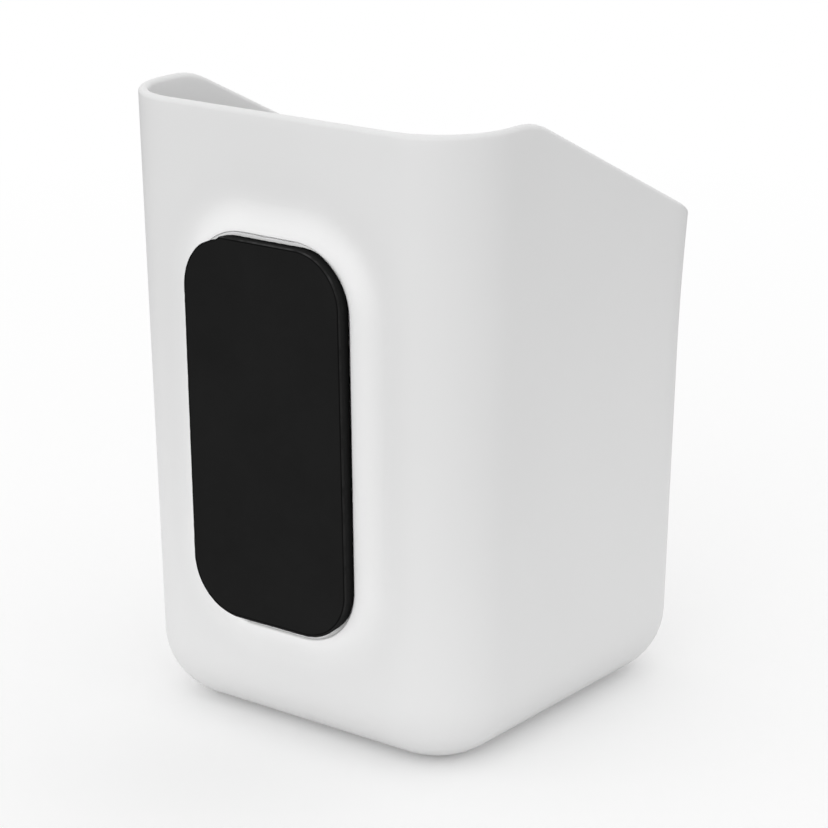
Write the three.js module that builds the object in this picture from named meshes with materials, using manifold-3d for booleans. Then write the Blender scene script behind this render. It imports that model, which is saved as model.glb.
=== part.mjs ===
// A white moulded pen cup with a low front and a magnet on its back.
// Millimetres, +Z up. The origin is the centre of the flat underside,
// the low front faces -Y and the magnet faces +Y.

import * as THREE from 'three';
import { mergeVertices } from 'three/addons/utils/BufferGeometryUtils.js';
import Module from 'manifold-3d';

const wasm = await Module();
wasm.setup();

// Cup: outside sizes. Width and depth are those of the walls carried down to the table.
const cupHeight = 102;
const frontHeight = 76.9;
const baseWidth = 66;
const baseDepth = 67.8;
const draftAngle = THREE.MathUtils.degToRad(0.9);
const backCornerRadius = 13.1;
const frontCornerRadius = 12.9;
const bottomRounding = 11.2;
const wallThickness = 1.6;
const floorThickness = 2;

// Rim: level behind, then one straight slope down to the front wall, with a soft bend between.
const bendFromBack = 19.4;
const bendRadius = 16;

// The front wall curls outward a little below its rim.
const frontCurl = 1;
const frontCurlHeight = 22;

// Magnet: a rounded slab cut from flexible magnet sheet, and the tape that bonds it.
const magnetWidth = 30.2;
const magnetHeight = 61.6;
const magnetThickness = 2.2;
const magnetCornerRadius = 8.8;
const tapeThickness = 0.5;
const tapeMargin = 0.6;
const bondGap = 0.2;

// Seat: a raised frame on the back wall with a shallow recess for the magnet. The frame's
// flank falls straight from the recess's edge, then blends into the wall.
const seatCentreHeight = 51.6;
const seatSideClearance = 0.45;
const seatEndClearance = 1.2;
const seatCornerRadius = 10.4;
const seatDepth = 0.6;
const frameHeight = 2;
const flankStraight = 2.4;
const flankBlend = 3.2;
const frameRoot = 1;

// The magnet is stuck on by hand, a little to one side and high in its seat.
const magnetShiftSideways = 0.25;
const magnetShiftUp = 0.6;

// How finely the curved stretches are divided.
const cornerSteps = 8;
const roundingSteps = 6;
const rimSteps = 6;
const wallSteps = 8;
const sideSteps = 14;
const seatCornerSteps = 8;
const flankSteps = 8;
const crestRounds = 8;

const halfPi = Math.PI / 2;
const draftSlope = Math.tan(draftAngle);
const rimRadius = wallThickness / 2;

// One closed skin through a stack of rings, each end closed by a fan about its own middle.
function loft(rings) {
  const count = rings[0].length;
  const positions = [];
  for (const ring of rings) {
    for (const point of ring) positions.push(point.x, point.y, point.z);
  }
  const indices = [];
  for (let level = 0; level + 1 < rings.length; level += 1) {
    for (let i = 0; i < count; i += 1) {
      const next = (i + 1) % count;
      const here = level * count;
      const above = here + count;
      indices.push(here + i, here + next, above + next);
      indices.push(here + i, above + next, above + i);
    }
  }
  const addFan = (ring, start, flipped) => {
    const middle = new THREE.Vector3();
    for (const point of ring) middle.addScaledVector(point, 1 / count);
    const centre = positions.length / 3;
    positions.push(middle.x, middle.y, middle.z);
    for (let i = 0; i < count; i += 1) {
      const next = (i + 1) % count;
      if (flipped) indices.push(centre, start + next, start + i);
      else indices.push(centre, start + i, start + next);
    }
  };
  addFan(rings[0], 0, true);
  addFan(rings.at(-1), (rings.length - 1) * count, false);
  const geometry = new THREE.BufferGeometry();
  geometry.setAttribute('position', new THREE.Float32BufferAttribute(positions, 3));
  geometry.setIndex(indices);
  return geometry;
}

// Where the outer faces of the walls lie at a height.
function wallsAt(z) {
  const lean = z * draftSlope;
  const curl = Math.max(0, (z - frontHeight) / frontCurlHeight + 1);
  return {
    side: baseWidth / 2 + lean,
    back: baseDepth / 2 + lean,
    front: -(baseDepth / 2 + lean + frontCurl * curl * curl),
  };
}

// The stations that every ring of the cup passes, anticlockwise from the front of the +X wall.
// Each gives its place for an inset from the outer faces and a height.
function cupStations() {
  const arcPoint = (isBack, sign, angle) => (inset, z) => {
    const walls = wallsAt(z);
    const radius = isBack ? backCornerRadius : frontCornerRadius;
    const centreX = sign * (walls.side - radius);
    const centreY = isBack ? walls.back - radius : walls.front + radius;
    return new THREE.Vector3(
      centreX + (radius - inset) * Math.cos(angle),
      centreY + (radius - inset) * Math.sin(angle),
      z,
    );
  };
  const corners = [
    [true, 1, 0],
    [true, -1, halfPi],
    [false, -1, 2 * halfPi],
    [false, 1, 3 * halfPi],
  ];
  const stations = [];
  corners.forEach(([isBack, sign, start], index) => {
    for (let step = 0; step <= cornerSteps; step += 1) {
      stations.push(arcPoint(isBack, sign, start + (halfPi * step) / cornerSteps));
    }
    // Only the side walls carry a shaped rim, so only they are divided.
    const isSideNext = index % 2 === 1;
    if (!isSideNext) return;
    const [nextBack, nextSign, nextStart] = corners[(index + 1) % corners.length];
    const from = arcPoint(isBack, sign, start + halfPi);
    const to = arcPoint(nextBack, nextSign, nextStart);
    for (let step = 1; step < sideSteps; step += 1) {
      stations.push((inset, z) => from(inset, z).lerp(to(inset, z), step / sideSteps));
    }
  });
  return stations;
}

// Height of the rim's crest over a place between the front and the back.
function rimHeight(y) {
  const frontY = wallsAt(frontHeight).front;
  const bendY = wallsAt(cupHeight).back - bendFromBack;
  const slope = Math.atan2(cupHeight - frontHeight, bendY - frontY);
  const tangent = bendRadius * Math.tan(slope / 2);
  const arcY = bendY + tangent;
  if (y >= arcY) return cupHeight;
  const arcEndY = bendY - tangent * Math.cos(slope);
  if (y >= arcEndY) return cupHeight - bendRadius + Math.sqrt(bendRadius ** 2 - (y - arcY) ** 2);
  return Math.max(frontHeight, cupHeight - (bendY - y) * Math.tan(slope));
}

// The crest over one station. The walls lean, so the height settles in a few rounds.
function crestAt(station) {
  let z = cupHeight;
  for (let round = 0; round < crestRounds; round += 1) z = rimHeight(station(rimRadius, z).y);
  return z;
}

// The open cup as one skin: underside, outer wall, rolled rim, inner wall and floor.
function cupShell() {
  const stations = cupStations();
  const crests = stations.map(crestAt);
  const innerRounding = bottomRounding - wallThickness;
  const ring = (inset, heightAt) => stations.map((station, i) => station(inset, heightAt(crests[i])));
  const rings = [];
  for (let step = 0; step <= roundingSteps; step += 1) {
    const angle = (halfPi * step) / roundingSteps;
    const z = bottomRounding * (1 - Math.cos(angle));
    rings.push(ring(bottomRounding * (1 - Math.sin(angle)), () => z));
  }
  for (let step = 1; step < wallSteps; step += 1) {
    const share = step / wallSteps;
    rings.push(ring(0, (crest) => THREE.MathUtils.lerp(bottomRounding, crest - rimRadius, share)));
  }
  for (let step = 0; step <= rimSteps; step += 1) {
    const angle = (Math.PI * step) / rimSteps;
    const inset = rimRadius * (1 - Math.cos(angle));
    rings.push(ring(inset, (crest) => crest - rimRadius * (1 - Math.sin(angle))));
  }
  const innerBottom = floorThickness + innerRounding;
  for (let step = wallSteps - 1; step > 0; step -= 1) {
    const share = step / wallSteps;
    rings.push(ring(wallThickness, (crest) => THREE.MathUtils.lerp(innerBottom, crest - rimRadius, share)));
  }
  for (let step = roundingSteps; step >= 0; step -= 1) {
    const angle = (halfPi * step) / roundingSteps;
    const z = floorThickness + innerRounding * (1 - Math.cos(angle));
    rings.push(ring(wallThickness + innerRounding * (1 - Math.sin(angle)), () => z));
  }
  return loft(rings);
}

// The frame of the leaning back wall: x to the right as seen from behind, y up the wall
// and z straight out of it, with its middle on the outer face at the seat's centre.
function backWallFrame() {
  const right = new THREE.Vector3(-1, 0, 0);
  const up = new THREE.Vector3(0, Math.sin(draftAngle), Math.cos(draftAngle));
  const out = new THREE.Vector3(0, Math.cos(draftAngle), -Math.sin(draftAngle));
  const frame = new THREE.Matrix4().makeBasis(right, up, out);
  return frame.setPosition(0, wallsAt(seatCentreHeight).back, seatCentreHeight);
}

// A rounded rectangle about the frame's middle, grown by an offset and lifted off the wall.
function roundedRing(width, height, radius, offset, lift) {
  const points = [];
  const arcRadius = radius + offset;
  const quadrants = [[1, 1], [-1, 1], [-1, -1], [1, -1]];
  quadrants.forEach(([signX, signY], index) => {
    for (let step = 0; step <= seatCornerSteps; step += 1) {
      const angle = halfPi * (index + step / seatCornerSteps);
      points.push(new THREE.Vector3(
        signX * (width / 2 - radius) + arcRadius * Math.cos(angle),
        signY * (height / 2 - radius) + arcRadius * Math.sin(angle),
        lift,
      ));
    }
  });
  return points;
}

const seatWidth = magnetWidth + 2 * seatSideClearance;
const seatHeight = magnetHeight + 2 * seatEndClearance;
const seatRing = (offset, lift) => roundedRing(seatWidth, seatHeight, seatCornerRadius, offset, lift);

// The raised frame: from its root inside the wall up the blend and the straight flank.
function raisedFrame() {
  const flankWidth = flankStraight + flankBlend;
  const flankSlope = frameHeight / (flankStraight + flankBlend / 2);
  const rings = [seatRing(flankWidth, -frameRoot)];
  for (let step = 0; step <= flankSteps; step += 1) {
    const climbed = (flankBlend * step) / flankSteps;
    rings.push(seatRing(flankWidth - climbed, (flankSlope * climbed ** 2) / (2 * flankBlend)));
  }
  rings.push(seatRing(0, frameHeight));
  return loft(rings);
}

// The room cut out of the raised frame, open outward past its top.
function seatRoom() {
  const floor = frameHeight - seatDepth;
  return loft([seatRing(0, floor), seatRing(0, frameHeight + frameRoot)]);
}

function toSolid(geometry) {
  const bare = geometry.clone();
  bare.deleteAttribute('normal');
  bare.deleteAttribute('uv');
  const merged = mergeVertices(bare);
  return new wasm.Manifold(new wasm.Mesh({
    numProp: 3,
    vertProperties: new Float32Array(merged.attributes.position.array),
    triVerts: new Uint32Array(merged.index.array),
  }));
}

function toGeometry(solid) {
  const mesh = solid.getMesh();
  const geometry = new THREE.BufferGeometry();
  geometry.setAttribute('position', new THREE.BufferAttribute(mesh.vertProperties, 3));
  geometry.setIndex(new THREE.BufferAttribute(mesh.triVerts, 1));
  geometry.computeVertexNormals();
  return geometry;
}

const whitePlastic = new THREE.MeshStandardMaterial({ color: '#e4e4e4', roughness: 0.32, metalness: 0 });
const whiteTape = new THREE.MeshStandardMaterial({ color: '#dcdbd6', roughness: 0.8, metalness: 0 });
const blackMagnet = new THREE.MeshStandardMaterial({ color: '#1d1d1d', roughness: 0.75, metalness: 0 });

function cupBody() {
  const frame = backWallFrame();
  const shell = toSolid(cupShell());
  const raised = toSolid(raisedFrame().applyMatrix4(frame));
  const room = toSolid(seatRoom().applyMatrix4(frame));
  const mesh = new THREE.Mesh(toGeometry(shell.add(raised).subtract(room)), whitePlastic);
  mesh.name = 'cup_body';
  return mesh;
}

// The two flat pieces are stacked out of the seat's floor, each clear of the one below it.
const tapeLift = frameHeight - seatDepth + bondGap;
const magnetLift = tapeLift + tapeThickness + bondGap;

function adhesiveTape() {
  const ring = (lift) => roundedRing(magnetWidth, magnetHeight, magnetCornerRadius, -tapeMargin, lift);
  const mesh = new THREE.Mesh(loft([ring(0), ring(tapeThickness)]), whiteTape);
  mesh.name = 'adhesive_tape';
  mesh.position.set(magnetShiftSideways, magnetShiftUp, tapeLift);
  return mesh;
}

function magnetSheet() {
  const ring = (lift) => roundedRing(magnetWidth, magnetHeight, magnetCornerRadius, 0, lift);
  const mesh = new THREE.Mesh(loft([ring(0), ring(magnetThickness)]), blackMagnet);
  mesh.name = 'magnet_sheet';
  mesh.position.set(magnetShiftSideways, magnetShiftUp, magnetLift);
  return mesh;
}

const magnetPad = new THREE.Group();
magnetPad.applyMatrix4(backWallFrame());
magnetPad.add(adhesiveTape(), magnetSheet());

const penHolder = new THREE.Group();
penHolder.add(cupBody(), magnetPad);

export default penHolder;
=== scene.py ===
import math

import bpy
import numpy as np
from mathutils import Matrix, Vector, noise


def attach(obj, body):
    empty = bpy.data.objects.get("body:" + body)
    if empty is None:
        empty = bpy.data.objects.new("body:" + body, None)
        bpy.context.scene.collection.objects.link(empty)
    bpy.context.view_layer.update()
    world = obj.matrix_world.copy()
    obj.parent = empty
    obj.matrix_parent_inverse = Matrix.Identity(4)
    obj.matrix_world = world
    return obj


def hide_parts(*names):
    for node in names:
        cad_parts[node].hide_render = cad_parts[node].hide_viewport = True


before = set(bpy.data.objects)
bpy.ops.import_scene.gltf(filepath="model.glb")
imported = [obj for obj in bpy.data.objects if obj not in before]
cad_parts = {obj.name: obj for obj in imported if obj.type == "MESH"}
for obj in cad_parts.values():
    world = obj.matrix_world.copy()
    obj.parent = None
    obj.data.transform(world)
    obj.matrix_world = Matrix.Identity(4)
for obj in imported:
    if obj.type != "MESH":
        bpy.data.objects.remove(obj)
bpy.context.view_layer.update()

# Shapes are sized in millimetres. MM turns them into metres, which the materials and the stage are in.
MM = 0.001

# Cup, with the sizes of its CAD solid.
CUP_HEIGHT = 102
FRONT_HEIGHT = 76.9
BASE_WIDTH = 66
BASE_DEPTH = 67.8
DRAFT = math.radians(0.9)
BACK_CORNER_RADIUS = 13.1
FRONT_CORNER_RADIUS = 12.9
BOTTOM_ROUNDING = 11.2
WALL = 1.6
FLOOR = 2
BEND_FROM_BACK = 19.4
BEND_RADIUS = 16
FRONT_CURL = 1
FRONT_CURL_HEIGHT = 22

# Magnet, tape and the seat that holds them. Lifts are measured straight out of the back wall,
# and left and right are as seen from behind.
MAGNET_WIDTH = 30.2
MAGNET_HEIGHT = 61.6
MAGNET_SHIFT = (0.25, 0.6)
SEAT_CENTRE_HEIGHT = 51.6
SEAT_SIDE_CLEARANCE = 0.45
SEAT_END_CLEARANCE = 1.2
SEAT_CORNER = 10.4
SEAT_LIFT = 1.4
FRAME_LIFT = 2
FLANK_STRAIGHT = 2.4
FLANK_BLEND = 3.2

# The lip's radius at the top and sides, and at the bottom.
LIP_RADIUS = (0.07, 0.25)
SEAT_FILLET = 0.15

# Tape: as far left as the magnet, narrower at its right, and set higher so that it peeps out above.
TAPE_TOP_LIFT = 1.95
TAPE_SIDE_MARGIN = 0.8
TAPE_PEEP = 0.45

# Magnet: corner radii anticlockwise from the lower left. The slack makes it wider at its right, the turn
# in radians sets it askew, and the spread lets it reach beyond the seat's edge at its face.
MAGNET_TOP_LIFT = 4.5
MAGNET_CORNERS = (8.8, 8.4, 8.4, 8.8)
MAGNET_SLACK = 0.28
MAGNET_TURN = 0.006
MAGNET_SPREAD = 1.6

# Nick in the magnet's upper left corner: the directions that it lies between, its depth at the edge,
# and how far in from the edge it has faded out.
NICK_ANGLES = (math.radians(101), math.radians(132))
NICK_DEPTH = 0.42
NICK_FADE = 2.5

# Room that tape and magnet keep to the seat's edge, and to the piece under them.
EDGE_ROOM = 0.06
BOND_SKIN = 0.01

# How many steps each stretch of the cup and its seat has.
CORNER_STEPS = 16
BACK_STEPS = 26
SIDE_STEPS = 28
WALL_STEPS = 56
ROUNDING_STEPS = 12
RIM_STEPS = 12
FLANK_STEPS = 18
LIP_STEPS = 7
FILLET_STEPS = 3

# Where the seat's floor has further rings, and how many rows of the wall are plain below and above it.
SEAT_FLOOR_OFFSETS = (-1, -2.5, -5, -8)
ROWS_BELOW_SEAT = 2
ROWS_ABOVE_SEAT = 8

RIM_RADIUS = WALL / 2
DRAFT_SLOPE = math.tan(DRAFT)


def smooth_object(name, points, faces):
    """A mesh object from points in millimetres, shaded smooth. Points that no face uses are left out."""
    used = sorted({index for face in faces for index in face})
    number = {old: new for new, old in enumerate(used)}
    mesh = bpy.data.meshes.new(name)
    places = [tuple(points[old] * MM) for old in used]
    mesh.from_pydata(places, [], [[number[index] for index in face] for face in faces])
    mesh.validate()
    mesh.polygons.foreach_set("use_smooth", [True] * len(mesh.polygons))
    mesh.update()
    piece = bpy.data.objects.new(name, mesh)
    bpy.context.scene.collection.objects.link(piece)
    return piece


class Skin:
    """Points and faces of one closed surface, built up ring by ring."""

    def __init__(self):
        self.points = []
        self.faces = []

    def add(self, points):
        """Adds points and returns their numbers."""
        start = len(self.points)
        self.points.extend(np.asarray(point, dtype=float) for point in points)
        return list(range(start, len(self.points)))

    def band(self, lower, upper):
        """Joins two rings of equal length with quads."""
        for index in range(len(lower)):
            following = (index + 1) % len(lower)
            self.faces.append((lower[index], lower[following], upper[following], upper[index]))

    def grow(self, ring, points):
        """Adds the next ring, joins it to the one before and returns its numbers."""
        following = self.add(points)
        self.band(ring, following)
        return following

    def fill(self, ring, across, along, flipped=False):
        """Closes a ring with a lattice of quads. The ring starts at a corner of the lattice."""
        bottom = ring[:across + 1]
        right = ring[across:across + along + 1]
        top = ring[across + along:2 * across + along + 1][::-1]
        left = [ring[0]] + ring[2 * across + along:][::-1]
        at = np.array(self.points)
        lattice = np.zeros((along + 1, across + 1), dtype=int)
        lattice[0, :] = bottom
        lattice[-1, :] = top
        lattice[:, 0] = left
        lattice[:, -1] = right
        corners = at[[bottom[0], bottom[-1], top[0], top[-1]]]
        for row in range(1, along):
            rise = row / along
            for column in range(1, across):
                run = column / across
                ruled = (1 - rise) * at[bottom[column]] + rise * at[top[column]]
                ruled = ruled + (1 - run) * at[left[row]] + run * at[right[row]]
                ruled = ruled - (1 - run) * (1 - rise) * corners[0] - run * (1 - rise) * corners[1]
                ruled = ruled - (1 - run) * rise * corners[2] - run * rise * corners[3]
                lattice[row, column] = self.add([ruled])[0]
        for row in range(along):
            for column in range(across):
                quad = (lattice[row, column], lattice[row, column + 1],
                        lattice[row + 1, column + 1], lattice[row + 1, column])
                self.faces.append(tuple(int(index) for index in (quad[::-1] if flipped else quad)))


# Cup: the outline of its walls

def walls_at(z):
    """Half widths of the outer faces at a height: side, back and front."""
    lean = z * DRAFT_SLOPE
    curl = np.maximum(0, (z - FRONT_HEIGHT) / FRONT_CURL_HEIGHT + 1)
    return BASE_WIDTH / 2 + lean, BASE_DEPTH / 2 + lean, BASE_DEPTH / 2 + lean + FRONT_CURL * curl ** 2


def arc_point(corner, angle, inset, z):
    """A place on one rounded upright corner. Corners count anticlockwise from the back of +X."""
    side, back, front = walls_at(z)
    sign_x = np.where((corner == 0) | (corner == 3), 1, -1)
    is_back = corner < 2
    radius = np.where(is_back, BACK_CORNER_RADIUS, FRONT_CORNER_RADIUS)
    centre_x = sign_x * (side - radius)
    centre_y = np.where(is_back, back - radius, -(front - radius))
    reach = radius - inset
    x = centre_x + reach * np.cos(angle)
    y = centre_y + reach * np.sin(angle)
    return np.stack([x, y, z + 0 * reach], axis=-1)


def make_stations():
    """The upright lines that every ring passes: two places on corners, and a share between them."""
    rows = []
    for corner in range(4):
        start = corner * math.pi / 2
        for step in range(CORNER_STEPS + 1):
            angle = start + math.pi / 2 * step / CORNER_STEPS
            rows.append((corner, angle, corner, angle, 0))
        end = start + math.pi / 2
        straight = BACK_STEPS if corner % 2 == 0 else SIDE_STEPS
        for step in range(1, straight):
            rows.append((corner, end, (corner + 1) % 4, end, step / straight))
    return [np.array(column) for column in zip(*rows)]


STATIONS = make_stations()


def ring_points(inset, z):
    """The ring at an inset from the outer faces, with one height for each station."""
    corner_a, angle_a, corner_b, angle_b, share = STATIONS
    z = np.broadcast_to(z, share.shape).astype(float)
    place_a = arc_point(corner_a, angle_a, inset, z)
    place_b = arc_point(corner_b, angle_b, inset, z)
    return place_a + (place_b - place_a) * share[:, None]


def rim_height(y):
    """Height of the rim's crest: level behind, a soft bend, then one straight slope to the front."""
    front_y = -walls_at(FRONT_HEIGHT)[2]
    bend_y = walls_at(CUP_HEIGHT)[1] - BEND_FROM_BACK
    slope = math.atan2(CUP_HEIGHT - FRONT_HEIGHT, bend_y - front_y)
    tangent = BEND_RADIUS * math.tan(slope / 2)
    arc_y = bend_y + tangent
    arc_end_y = bend_y - tangent * math.cos(slope)
    drop = np.sqrt(np.maximum(BEND_RADIUS ** 2 - (y - arc_y) ** 2, 0))
    bend = CUP_HEIGHT - BEND_RADIUS + drop
    straight = np.maximum(FRONT_HEIGHT, CUP_HEIGHT - (bend_y - y) * math.tan(slope))
    return np.where(y >= arc_y, CUP_HEIGHT, np.where(y >= arc_end_y, bend, straight))


def crests():
    """The crest over every station. The walls lean, so the height settles in a few rounds."""
    z = np.full(len(STATIONS[0]), float(CUP_HEIGHT))
    for _ in range(8):
        z = rim_height(ring_points(RIM_RADIUS, z)[:, 1])
    return z


# Seat: the frame of the leaning back wall. Its axes are right as seen from behind, up and out.

WALL_RIGHT = np.array([-1, 0, 0])
WALL_UP = np.array([0, math.sin(DRAFT), math.cos(DRAFT)])
WALL_OUT = np.array([0, math.cos(DRAFT), -math.sin(DRAFT)])
WALL_ORIGIN = np.array([0, walls_at(SEAT_CENTRE_HEIGHT)[1], SEAT_CENTRE_HEIGHT])

SEAT_CORE = (
    MAGNET_WIDTH / 2 + SEAT_SIDE_CLEARANCE - SEAT_CORNER,
    MAGNET_HEIGHT / 2 + SEAT_END_CLEARANCE - SEAT_CORNER,
)
FLANK_SLOPE = FRAME_LIFT / (FLANK_STRAIGHT + FLANK_BLEND / 2)


def on_wall(right, up, lift):
    """A place given on the back wall's own axes."""
    return WALL_ORIGIN + right * WALL_RIGHT + up * WALL_UP + lift * WALL_OUT


def wall_coordinates(point):
    """How far right and up the back wall a place is."""
    offset = point - WALL_ORIGIN
    return offset @ WALL_RIGHT, offset @ WALL_UP


def from_core(right, up):
    """The nearest place on the seat's straight core, the direction away from it and the distance."""
    core = np.array([min(max(place, -half), half) for place, half in zip((right, up), SEAT_CORE)])
    away = np.array([right, up]) - core
    distance = float(np.hypot(*away))
    return core, away / max(distance, 1e-9), distance


def flank_lift(distance):
    """How far the raised frame stands off the wall at a distance outside the seat's edge."""
    if distance < FLANK_STRAIGHT:
        return FRAME_LIFT - FLANK_SLOPE * distance
    left = max(FLANK_STRAIGHT + FLANK_BLEND - distance, 0)
    return FLANK_SLOPE * left ** 2 / (2 * FLANK_BLEND)


def raise_flank(point):
    """Lifts a place on the outer wall by the raised frame's soft flank."""
    if point[1] < 0:
        return point
    right, up = wall_coordinates(point)
    distance = from_core(right, up)[2] - SEAT_CORNER
    return point + flank_lift(distance) * WALL_OUT


def seat_profile(away):
    """Offsets from the seat's edge, and lifts, across its lip, wall and floor. The lip is softer below."""
    lip = LIP_RADIUS[0] + (LIP_RADIUS[1] - LIP_RADIUS[0]) * max(0, -away[1])
    places = []
    start = math.atan2(1, FLANK_SLOPE)
    middle = FRAME_LIFT - lip * (FLANK_SLOPE + math.hypot(1, FLANK_SLOPE))
    for step in range(LIP_STEPS + 1):
        angle = start + (math.pi - start) * step / LIP_STEPS
        places.append((lip * (1 + math.cos(angle)), middle + lip * math.sin(angle)))
    for step in range(FILLET_STEPS + 1):
        angle = math.pi / 2 * step / FILLET_STEPS
        offset = -SEAT_FILLET * (1 - math.cos(angle))
        places.append((offset, SEAT_LIFT + SEAT_FILLET * (1 - math.sin(angle))))
    for offset in SEAT_FLOOR_OFFSETS:
        places.append((offset, SEAT_LIFT))
    return places


def add_seat(skin, lattice, first, last, low, high):
    """Replaces a window of the back wall's lattice with the raised frame and its recess."""
    bottom = [lattice[low][column] for column in range(first, last + 1)]
    right = [lattice[row][last] for row in range(low, high + 1)]
    top = [lattice[high][column] for column in range(last, first - 1, -1)]
    left = [lattice[row][first] for row in range(high, low - 1, -1)]
    ring = bottom[:-1] + right[:-1] + top[:-1] + left[:-1]
    spokes = [from_core(*wall_coordinates(skin.points[index])) for index in ring]
    reaches = [distance - SEAT_CORNER for _, _, distance in spokes]
    profiles = [seat_profile(away) for _, away, _ in spokes]
    for step in range(1, FLANK_STEPS + 1):
        share = 1 - step / FLANK_STEPS
        points = []
        for (core, away, _), reach, profile in zip(spokes, reaches, profiles):
            distance = profile[0][0] + share * (reach - profile[0][0])
            place = core + away * (SEAT_CORNER + distance)
            points.append(on_wall(*place, flank_lift(distance)))
        ring = skin.grow(ring, points)
    for step in range(1, len(profiles[0])):
        points = []
        for (core, away, _), profile in zip(spokes, profiles):
            offset, lift = profile[step]
            points.append(on_wall(*(core + away * (SEAT_CORNER + offset)), lift))
        ring = skin.grow(ring, points)
    skin.fill(ring, last - first, high - low)


def make_cup():
    """The whole cup as one skin: underside, outer wall with its seat, rim, inner wall and floor."""
    skin = Skin()
    crest = crests()
    count = len(crest)
    quarter = math.pi / 2

    outer = []
    for step in range(ROUNDING_STEPS + 1):
        angle = quarter * step / ROUNDING_STEPS
        z = BOTTOM_ROUNDING * (1 - math.cos(angle))
        outer.append(ring_points(BOTTOM_ROUNDING * (1 - math.sin(angle)), z))
    for step in range(1, WALL_STEPS + 1):
        share = step / WALL_STEPS
        outer.append(ring_points(0, BOTTOM_ROUNDING + (crest - RIM_RADIUS - BOTTOM_ROUNDING) * share))
    rows = [skin.add([raise_flank(point) for point in ring]) for ring in outer]
    seat_low = ROUNDING_STEPS + ROWS_BELOW_SEAT
    seat_high = ROUNDING_STEPS + WALL_STEPS - ROWS_ABOVE_SEAT
    seat_first = CORNER_STEPS
    seat_last = CORNER_STEPS + BACK_STEPS
    for row, (lower, upper) in enumerate(zip(rows, rows[1:])):
        for index in range(count):
            inside = seat_low <= row < seat_high and seat_first <= index < seat_last
            if not inside:
                following = (index + 1) % count
                skin.faces.append((lower[index], lower[following], upper[following], upper[index]))
    add_seat(skin, rows, seat_first, seat_last, seat_low, seat_high)

    ring = rows[-1]
    for step in range(1, RIM_STEPS + 1):
        angle = math.pi * step / RIM_STEPS
        inset = RIM_RADIUS * (1 - math.cos(angle))
        ring = skin.grow(ring, ring_points(inset, crest - RIM_RADIUS * (1 - math.sin(angle))))
    inner_rounding = BOTTOM_ROUNDING - WALL
    inner_bottom = FLOOR + inner_rounding
    for step in range(WALL_STEPS - 1, -1, -1):
        share = step / WALL_STEPS
        z = inner_bottom + (crest - RIM_RADIUS - inner_bottom) * share
        ring = skin.grow(ring, ring_points(WALL, z))
    for step in range(ROUNDING_STEPS - 1, -1, -1):
        angle = quarter * step / ROUNDING_STEPS
        inset = WALL + inner_rounding * (1 - math.sin(angle))
        ring = skin.grow(ring, ring_points(inset, FLOOR + inner_rounding * (1 - math.cos(angle))))

    # The lattices of the floor and the underside start in the middle of a corner.
    half = CORNER_STEPS // 2
    across = BACK_STEPS + CORNER_STEPS
    along = SIDE_STEPS + CORNER_STEPS
    skin.fill(ring[half:] + ring[:half], across, along)
    skin.fill(rows[0][half:] + rows[0][:half], across, along, flipped=True)
    return smooth_object("cup_skin", skin.points, skin.faces)


# Magnet and tape: slabs with a cut edge

def within_seat(place, lift):
    """A soft piece is squeezed inside the seat's lip and spreads again towards the magnet's face."""
    climb = max(lift - TAPE_TOP_LIFT, 0) / (MAGNET_TOP_LIFT - TAPE_TOP_LIFT)
    core, away, distance = from_core(*place)
    return core + away * min(distance, SEAT_CORNER - EDGE_ROOM + MAGNET_SPREAD * climb)


class Outline:
    """A rounded rectangle on the back wall, as spokes that its rings can be offset along."""

    ARC_STEPS = 18
    SHORT_STEPS = 16
    LONG_STEPS = 56

    # Raggedness is a coarse and a fine noise: how fast each one changes along the edge, the coarse one's
    # weight, and what is added to the fine one's seed.
    COARSE_SCALE = 0.9
    FINE_SCALE = 3.1
    COARSE_WEIGHT = 0.6
    FINE_SEED = 10

    def __init__(self, width, height, radii, shift, turn=0, nick_depth=0):
        self.spokes = []
        self.nick_depth = nick_depth
        centres = []
        for (right, up), radius in zip(((-1, -1), (1, -1), (1, 1), (-1, 1)), radii):
            centres.append(np.array([right * (width / 2 - radius), up * (height / 2 - radius)]))
        for index, (centre, radius) in enumerate(zip(centres, radii)):
            start = math.pi * (1 + index / 2)
            for step in range(self.ARC_STEPS + 1):
                angle = start + math.pi / 2 * step / self.ARC_STEPS
                self.spokes.append((centre, radius, np.array([math.cos(angle), math.sin(angle)])))
            away = self.spokes[-1][2]
            following = (index + 1) % 4
            start_place = centre + away * radius
            end_place = centres[following] + away * radii[following]
            straight = self.SHORT_STEPS if index % 2 == 0 else self.LONG_STEPS
            for step in range(1, straight):
                place = start_place + (end_place - start_place) * step / straight
                self.spokes.append((place - away * radius, radius, away))

        # The slab's lattices start in the middle of its first corner.
        half = self.ARC_STEPS // 2
        self.spokes = self.spokes[half:] + self.spokes[:half]
        self.shift = np.array(shift)
        self.turn = np.array([[math.cos(turn), -math.sin(turn)], [math.sin(turn), math.cos(turn)]])
        self.across = self.SHORT_STEPS + self.ARC_STEPS
        self.along = self.LONG_STEPS + self.ARC_STEPS

    def nick(self, away):
        """How much is missing at the nick: a sharp step at its first angle, then less and less."""
        first, last = NICK_ANGLES
        angle = math.atan2(away[1], away[0])
        return self.nick_depth * (last - angle) / (last - first) if first < angle < last else 0

    def ring(self, offset, lift, rag=0, seed=0):
        """The ring at an offset from the outline, ragged and kept within the seat."""
        points = []
        for centre, radius, away in self.spokes:
            place = centre + away * radius
            coarse = noise.noise(Vector((*(place * self.COARSE_SCALE), seed)))
            fine = noise.noise(Vector((*(place * self.FINE_SCALE), seed + self.FINE_SEED)))
            cut = self.nick(away) * max(0, 1 + offset / NICK_FADE)
            reach = radius + offset + rag * (self.COARSE_WEIGHT * coarse + fine) - cut
            spot = self.turn @ (centre + away * reach) + self.shift
            points.append(on_wall(*within_seat(spot, lift), lift))
        return points


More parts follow.
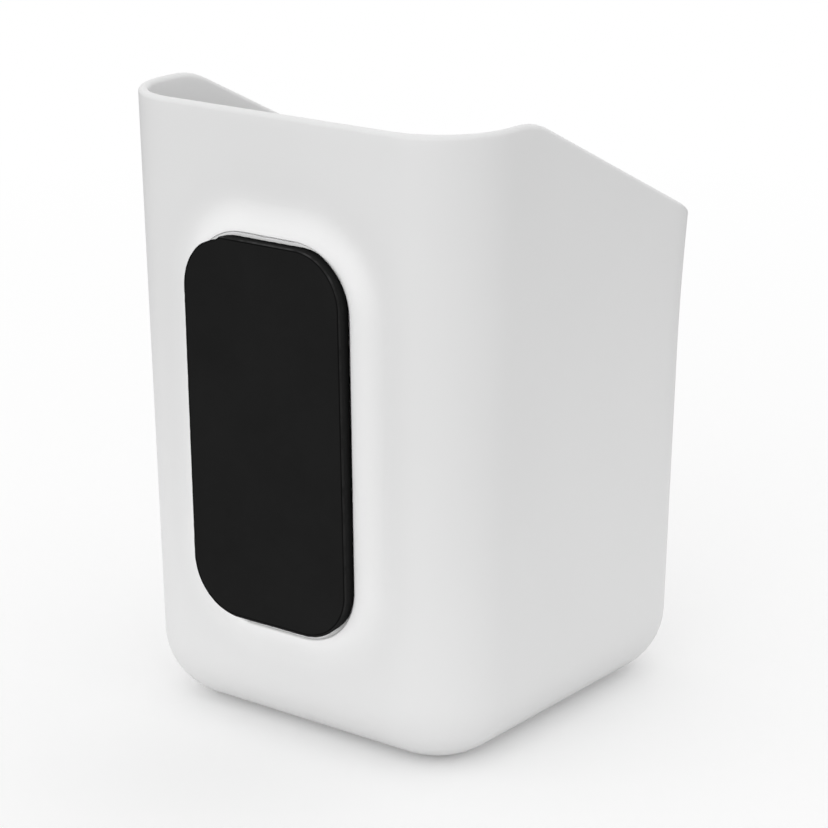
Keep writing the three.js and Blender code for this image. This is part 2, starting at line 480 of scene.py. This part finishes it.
def slab(name, outline, profile):
    """A closed slab from rings of (offset, lift, raggedness, seed), the first ring underneath."""
    skin = Skin()
    rings = [skin.add(outline.ring(*place)) for place in profile]
    for lower, upper in zip(rings, rings[1:]):
        skin.band(lower, upper)
    skin.fill(rings[0], outline.across, outline.along, flipped=True)
    skin.fill(rings[-1], outline.across, outline.along)
    return smooth_object(name, skin.points, skin.faces)


def make_magnet():
    """Flexible magnet sheet, die cut: a small groove inside its edge and slightly ragged sides."""
    shift = (MAGNET_SHIFT[0] + MAGNET_SLACK / 2, MAGNET_SHIFT[1])
    width = MAGNET_WIDTH + MAGNET_SLACK
    outline = Outline(width, MAGNET_HEIGHT, MAGNET_CORNERS, shift, MAGNET_TURN, NICK_DEPTH)
    base = TAPE_TOP_LIFT + BOND_SKIN
    top = MAGNET_TOP_LIFT
    profile = [(-0.35, base, 0.03, 1), (-0.14, base + 0.02, 0.05, 1), (-0.04, base + 0.1, 0.05, 1)]
    profile += [(0, base + 0.35, 0.03, 1), (0.05, base + 0.9, 0.02, 2), (0.09, base + 1.5, 0.03, 3)]
    profile += [(0.15, top - 0.4, 0.04, 4), (0.15, top - 0.26, 0.04, 4), (0.1, top - 0.12, 0.04, 4)]
    profile += [(0.02, top - 0.04, 0.03, 4), (-0.08, top - 0.03, 0.02, 4), (-0.12, top - 0.08, 0.02, 4)]
    profile += [(-0.2, top - 0.1, 0.02, 4), (-0.25, top - 0.04, 0.02, 4), (-0.33, top - 0.01, 0.01, 4)]
    profile += [(-0.6, top, 0.01, 4), (-1.2, top, 0, 0), (-3, top, 0, 0), (-5, top, 0, 0), (-7, top, 0, 0)]
    return slab("magnet_pad", outline, profile)


def make_tape():
    """Foam tape between the cup and the magnet, cut by hand. It peeps out above the magnet."""
    shift = (MAGNET_SHIFT[0] - TAPE_SIDE_MARGIN / 2, MAGNET_SHIFT[1] + TAPE_PEEP)
    outline = Outline(MAGNET_WIDTH - TAPE_SIDE_MARGIN, MAGNET_HEIGHT, MAGNET_CORNERS, shift)
    low = SEAT_LIFT + BOND_SKIN
    high = TAPE_TOP_LIFT
    middle = (low + high) / 2
    profile = [(-0.6, low, 0.05, 7), (-0.08, low, 0.1, 7), (0, middle, 0.12, 7)]
    profile += [(-0.04, high - 0.04, 0.1, 7), (-0.1, high, 0.1, 7), (-0.6, high, 0.05, 7)]
    profile += [(-3, high, 0, 7), (-7, high, 0, 7)]
    return slab("tape_layer", outline, profile)


# Materials

# White plastic. The seat and its frame are painted lighter than the wall, as painted light around the
# magnet. That fades out between two distances from the seat's edge, and is kept to the outer side of the
# back wall, which is above two lifts.
WALL_GREYS = (0.775, 0.795)
RING_PAINTED_LIGHT_GREY = 0.98
RING_PAINTED_LIGHT_FADE = (0.0005, 0.0085)
OUTSIDE_LIFTS = (-0.0004, -0.0001)
SPECK_GREY = 0.46
PLASTIC_ROUGHNESS = (0.3, 0.38)

# Foam tape
FOAM_GREYS = (0.8, 0.88)
FOAM_ROUGHNESS = (0.75, 0.9)

# Magnet sheet. The colour of its cut side is painted shade that deepens from the face towards the tape, and
# gives way to the face's colour at the side's end.
# The groove is darkened as painted shade, which comes in between the first two distances from the edge and
# goes between the last two.
# The lighter edge line is partly rubbed wear and partly a painted highlight, lighter at the magnet's top
# where light falls on it.
FACE_GREYS = (0.0132, 0.0152)
SIDE_PAINTED_SHADE_GREYS = (0.002, 0.016)
SIDE_SHADE_CLIMB = ((TAPE_TOP_LIFT + 0.4) * MM, (MAGNET_TOP_LIFT - 0.7) * MM)
SIDE_END = ((MAGNET_TOP_LIFT - 0.34) * MM, (MAGNET_TOP_LIFT - 0.24) * MM)
GROOVE_SHADE_GREY = 0.006
GROOVE_SHADE_BAND = (-0.00034, -0.00028, -0.00018, -0.00012)
RUBBED_AND_HIGHLIGHT_GREYS = (0.022, 0.05)
TOP_HIGHLIGHT_HEIGHTS = (0.077, 0.081)
RUBBED_BAND = (-0.00012, -0.00007)
RUBBED_SHARES = (0.2, 1)
DUST_GREY = 0.05
RUBBER_ROUGHNESS = (0.5, 0.66)

# The part of a noise's values that is spread over the whole range: usually, for wear, and for rubbing.
NOISE_SPAN = (0.3, 0.7)
WEAR_SPAN = (0.3, 0.75)
RUBBING_SPAN = (0.35, 0.6)

# The share of a speck's radius within which it has its full colour.
SPECK_CORE = 0.6


def grey(level):
    """A neutral colour."""
    return (level, level, level, 1)


class Nodes:
    """A material's node tree, with short calls that add and join its nodes."""

    def __init__(self, name):
        self.material = bpy.data.materials.new(name)
        self.material.use_nodes = True
        self.tree = self.material.node_tree
        self.shader = self.tree.nodes["Principled BSDF"]
        self.place = self.add("ShaderNodeTexCoord").outputs["Object"]

    def feed(self, socket, value):
        """Joins another socket to this one, or sets its plain value."""
        if isinstance(value, bpy.types.NodeSocket):
            self.tree.links.new(value, socket)
        else:
            socket.default_value = value

    def add(self, kind, **inputs):
        """A new node with its inputs. An underscore in a name stands for a space."""
        node = self.tree.nodes.new(kind)
        for key, value in inputs.items():
            self.feed(node.inputs[key.replace("_", " ")], value)
        return node

    def noise(self, scale, detail=2, roughness=0.5):
        """A cloudy value that varies over the piece."""
        kind = "ShaderNodeTexNoise"
        node = self.add(kind, Vector=self.place, Scale=scale, Detail=detail, Roughness=roughness)
        return node.outputs["Fac"]

    def cells(self, scale):
        """The distance from the middle of the nearest cell, for cells strewn over the piece."""
        return self.add("ShaderNodeTexVoronoi", Vector=self.place, Scale=scale).outputs["Distance"]

    def specks(self, spacing, radius):
        """A mask of sparse round specks: their usual spacing and radius in metres."""
        reach = radius / spacing
        return self.remap(self.cells(1 / spacing), reach * SPECK_CORE, reach, 1, 0)

    def remap(self, value, low, high, to_low, to_high, clamped=True):
        """A value moved from one range to another."""
        node = self.add("ShaderNodeMapRange", Value=value, From_Min=low, From_Max=high)
        self.feed(node.inputs["To Min"], to_low)
        self.feed(node.inputs["To Max"], to_high)
        node.clamp = clamped
        return node.outputs["Result"]

    def times(self, first, second):
        """Two values multiplied."""
        node = self.tree.nodes.new("ShaderNodeMath")
        node.operation = "MULTIPLY"
        self.feed(node.inputs[0], first)
        self.feed(node.inputs[1], second)
        return node.outputs[0]

    def mix(self, share, first, second):
        """A colour between two others. A mix node has its colours at inputs 6 and 7, and its output at 2."""
        node = self.tree.nodes.new("ShaderNodeMix")
        node.data_type = "RGBA"
        for number, value in ((0, share), (6, first), (7, second)):
            self.feed(node.inputs[number], value)
        return node.outputs[2]

    def greys(self, share, levels):
        """A grey between two levels."""
        return self.mix(share, grey(levels[0]), grey(levels[1]))

    def bump(self, height, distance, strength=1, under=None):
        """A bumped normal, on top of another one where it is given."""
        node = self.add("ShaderNodeBump", Height=height, Distance=distance, Strength=strength)
        if under is not None:
            self.feed(node.inputs["Normal"], under)
        return node.outputs["Normal"]

    def vector(self, operation, *values):
        """A vector operation on sockets or plain triples."""
        node = self.tree.nodes.new("ShaderNodeVectorMath")
        node.operation = operation
        for socket, value in zip(node.inputs, values):
            self.feed(socket, value)
        return node.outputs["Value" if operation in ("LENGTH", "DOT_PRODUCT") else "Vector"]

    def height(self):
        """Metres above the floor."""
        return self.vector("DOT_PRODUCT", self.place, (0, 0, 1))

    def lift(self):
        """Metres out of the back wall."""
        from_wall = self.vector("SUBTRACT", self.place, tuple(WALL_ORIGIN * MM))
        return self.vector("DOT_PRODUCT", from_wall, tuple(WALL_OUT))

    def beyond(self, right, up, core, corner, turn=0):
        """Metres outside a rounded rectangle on the back wall.

        Its middle, its half sizes without the corners and its corner radius are in millimetres.
        """
        middle = (-right * MM, 0, (SEAT_CENTRE_HEIGHT + up) * MM)
        flat = self.vector("MULTIPLY", self.vector("SUBTRACT", self.place, middle), (1, 0, 1))
        flat = self.vector("ADD", flat, self.vector("CROSS_PRODUCT", (0, -turn, 0), flat))
        over = self.vector("SUBTRACT", self.vector("ABSOLUTE", flat), (core[0] * MM, 0, core[1] * MM))
        distance = self.vector("LENGTH", self.vector("MAXIMUM", over, (0, 0, 0)))
        return self.remap(distance, corner * MM, (corner + 1) * MM, 0, MM, clamped=False)

    def plug(self, **inputs):
        """Sets or joins the shader's own inputs."""
        for key, value in inputs.items():
            self.feed(self.shader.inputs[key.replace("_", " ")], value)


def white_plastic():
    """Satin moulded plastic: faint flow in its colour, painted light on the seat and its frame, a fine skin,
    soft waves and a few specks.
    """
    look = Nodes("white_plastic")
    flow = look.noise(scale=22, detail=3)
    base = look.greys(look.remap(flow, *NOISE_SPAN, 0, 1), WALL_GREYS)
    # Painted light: the seat and its frame are made lighter than the wall, on the wall's outer side only.
    ring = look.remap(look.beyond(0, 0, SEAT_CORE, SEAT_CORNER), *RING_PAINTED_LIGHT_FADE, 1, 0)
    outside = look.remap(look.lift(), *OUTSIDE_LIFTS, 0, 1)
    base = look.mix(look.times(look.times(ring, ring), outside), base, grey(RING_PAINTED_LIGHT_GREY))
    specks = look.specks(spacing=0.021, radius=0.00022)
    look.plug(Base_Color=look.mix(specks, base, grey(SPECK_GREY)))
    wear = look.noise(scale=160, detail=4, roughness=0.6)
    look.plug(Roughness=look.remap(wear, *WEAR_SPAN, *PLASTIC_ROUGHNESS))
    waves = look.bump(look.noise(scale=38, detail=1), distance=0.00012, strength=0.6)
    skin = look.bump(look.noise(scale=2600), distance=0.000006, strength=0.5, under=waves)
    look.plug(Normal=skin, IOR=1.5)
    look.plug(Subsurface_Weight=0.12, Subsurface_Radius=(1, 1, 1), Subsurface_Scale=0.0016)
    return look.material


def foam_tape():
    """White foam tape: chalky, with open cells along its cut edge."""
    look = Nodes("foam_tape")
    look.plug(Base_Color=look.greys(look.noise(scale=900, detail=3), FOAM_GREYS))
    look.plug(Normal=look.bump(look.cells(scale=5200), distance=0.00008, strength=0.7))
    look.plug(Roughness=look.remap(look.noise(scale=700), *NOISE_SPAN, *FOAM_ROUGHNESS))
    return look.material


def magnet_rubber():
    """Matt black magnet sheet: grain, dust, painted shade on its cut side and in its groove, and an edge
    line that is partly rubbed wear, partly a painted highlight.
    """
    look = Nodes("magnet_rubber")
    cloud = look.noise(scale=90, detail=4, roughness=0.6)
    base = look.greys(look.remap(cloud, *NOISE_SPAN, 0, 1), FACE_GREYS)
    # Painted shade: the cut side darkens from its top towards the tape, and the face's colour takes over at
    # the side's end.
    side = look.remap(look.lift(), *SIDE_END, 1, 0)
    climb = look.remap(look.lift(), *SIDE_SHADE_CLIMB, 0, 1)
    base = look.mix(side, base, look.greys(climb, SIDE_PAINTED_SHADE_GREYS))

    # Distance from the magnet's edge, for which all its corners are taken to be like the upper right one.
    corner = MAGNET_CORNERS[2]
    core = ((MAGNET_WIDTH + MAGNET_SLACK) / 2 - corner, MAGNET_HEIGHT / 2 - corner)
    edge = look.beyond(MAGNET_SHIFT[0] + MAGNET_SLACK / 2, MAGNET_SHIFT[1], core, corner, MAGNET_TURN)
    # Painted shade: the groove inside the edge is darkened.
    groove = look.times(look.remap(edge, *GROOVE_SHADE_BAND[:2], 0, 1), look.remap(edge, *GROOVE_SHADE_BAND[2:], 1, 0))
    base = look.mix(groove, base, grey(GROOVE_SHADE_GREY))

    # Edge line: partly rubbed wear, partly a painted highlight. It is lighter towards the magnet's top,
    # where light falls on it.
    rubbed = look.times(look.remap(edge, *RUBBED_BAND, 0, 1), look.remap(side, 0, 1, 1, 0))
    rubbed = look.times(rubbed, look.remap(look.noise(scale=600, detail=3), *RUBBING_SPAN, *RUBBED_SHARES))
    wear_and_highlight = look.greys(look.remap(look.height(), *TOP_HIGHLIGHT_HEIGHTS, 0, 1), RUBBED_AND_HIGHLIGHT_GREYS)
    base = look.mix(rubbed, base, wear_and_highlight)
    dust = look.specks(spacing=0.0042, radius=0.00007)
    look.plug(Base_Color=look.mix(dust, base, grey(DUST_GREY)))
    look.plug(Roughness=look.remap(look.noise(scale=1400, detail=3), *NOISE_SPAN, *RUBBER_ROUGHNESS))
    grain = look.bump(look.noise(scale=5200, detail=3, roughness=0.6), distance=0.00002, strength=0.55)
    look.plug(Normal=look.bump(look.noise(scale=420), distance=0.00004, strength=0.3, under=grain))
    look.plug(IOR=1.1, Specular_IOR_Level=0.03)
    return look.material


# Stage

# Camera, solved from the photograph. Its lens and film are in millimetres.
CAMERA_PLACE = Vector((-270.51, 355.6, 186.11)) * MM
CAMERA_TARGET = Vector((0.841, -0.299, 46.124)) * MM
CAMERA_LENS = 123.8
FILM_WIDTH = 36
CLIP_START = 0.01

# Strength of the light tent, and the soft box at the magnet's side: places, edge length and power in watts.
TENT_LEVEL = 0.944
BACK_BOX_PLACE = (-0.17, 0.98, 0.15)
BACK_BOX_TARGET = (0, 0, 0.05)
BACK_BOX_SIZE = 0.8
BACK_BOX_POWER = 2.4

# Floor. Each pair is a value near the cup and one far from it, and the fade says where the first turns
# into the second. The light meets the first greys, and the camera sees the second ones and the glow.
FLOOR_HALF = 3
FLOOR_FADE = (0.1, 0.42)
FLOOR_GREYS = (0.885, 0.38)
FLOOR_SEEN_GREYS = (0.9, 0)
FLOOR_GLOWS = (0.11, 1)


def add_camera():
    """A camera at the photograph's place and angle."""
    data = bpy.data.cameras.new("camera")
    data.lens = CAMERA_LENS
    data.sensor_width = FILM_WIDTH
    data.clip_start = CLIP_START
    camera = bpy.data.objects.new("camera", data)
    bpy.context.scene.collection.objects.link(camera)
    camera.location = CAMERA_PLACE
    camera.rotation_euler = (CAMERA_TARGET - CAMERA_PLACE).to_track_quat("-Z", "Y").to_euler()
    bpy.context.scene.camera = camera


def add_world(level):
    """Soft light all round, as in a light tent. Camera, gloss and glass rays meet plain white."""
    world = bpy.data.worlds.new("world")
    world.use_nodes = True
    bpy.context.scene.world = world
    nodes = world.node_tree.nodes
    links = world.node_tree.links
    background = nodes["Background"]
    background.inputs["Color"].default_value = grey(1)
    path = nodes.new("ShaderNodeLightPath")
    clear = path.outputs["Is Camera Ray"]
    for ray in ("Is Glossy Ray", "Is Transmission Ray"):
        either = nodes.new("ShaderNodeMath")
        either.operation = "MAXIMUM"
        links.new(clear, either.inputs[0])
        links.new(path.outputs[ray], either.inputs[1])
        clear = either.outputs[0]
    strength = nodes.new("ShaderNodeMapRange")
    strength.inputs["To Min"].default_value = level
    strength.inputs["To Max"].default_value = 1
    links.new(clear, strength.inputs["Value"])
    links.new(strength.outputs["Result"], background.inputs["Strength"])


def add_floor():
    """A plain pale floor, wide enough to fill the view. Far from the cup the camera sees it plain white."""
    mesh = bpy.data.meshes.new("floor")
    corners = [(x * FLOOR_HALF, y * FLOOR_HALF, 0) for x, y in ((-1, -1), (1, -1), (1, 1), (-1, 1))]
    mesh.from_pydata(corners, [], [(0, 1, 2, 3)])
    floor = bpy.data.objects.new("floor", mesh)
    bpy.context.scene.collection.objects.link(floor)
    look = Nodes("pale_floor")
    camera_ray = look.add("ShaderNodeLightPath").outputs["Is Camera Ray"]
    fade = look.remap(look.vector("LENGTH", look.place), *FLOOR_FADE, 0, 1)
    glow = look.times(camera_ray, look.remap(fade, 0, 1, *FLOOR_GLOWS))
    seen = look.greys(fade, FLOOR_SEEN_GREYS)
    base = look.mix(camera_ray, look.greys(fade, FLOOR_GREYS), seen)
    look.plug(Base_Color=base, Roughness=0.9, Specular_IOR_Level=0)
    look.plug(Emission_Color=grey(1), Emission_Strength=glow)
    floor.data.materials.append(look.material)


def add_lamp(name, place, target, size, power):
    """A square soft box that faces its target."""
    data = bpy.data.lights.new(name, "AREA")
    data.shape = "SQUARE"
    data.size = size
    data.energy = power
    lamp = bpy.data.objects.new(name, data)
    bpy.context.scene.collection.objects.link(lamp)
    lamp.location = place
    lamp.rotation_euler = (Vector(target) - Vector(place)).to_track_quat("-Z", "Y").to_euler()


add_camera()
add_world(TENT_LEVEL)
add_floor()
add_lamp("back_box", BACK_BOX_PLACE, BACK_BOX_TARGET, BACK_BOX_SIZE, BACK_BOX_POWER)

PIECES = (
    (make_cup, "cup_body", white_plastic, "white_plastic"),
    (make_tape, "adhesive_tape", foam_tape, "foam_tape"),
    (make_magnet, "magnet_sheet", magnet_rubber, "magnet_rubber"),
)
for make, node, material, slot in PIECES:
    piece = make()
    piece.data.materials.append(material())
    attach(piece, "root")
    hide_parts(node)

bpy.context.scene.view_settings.view_transform = "Standard"
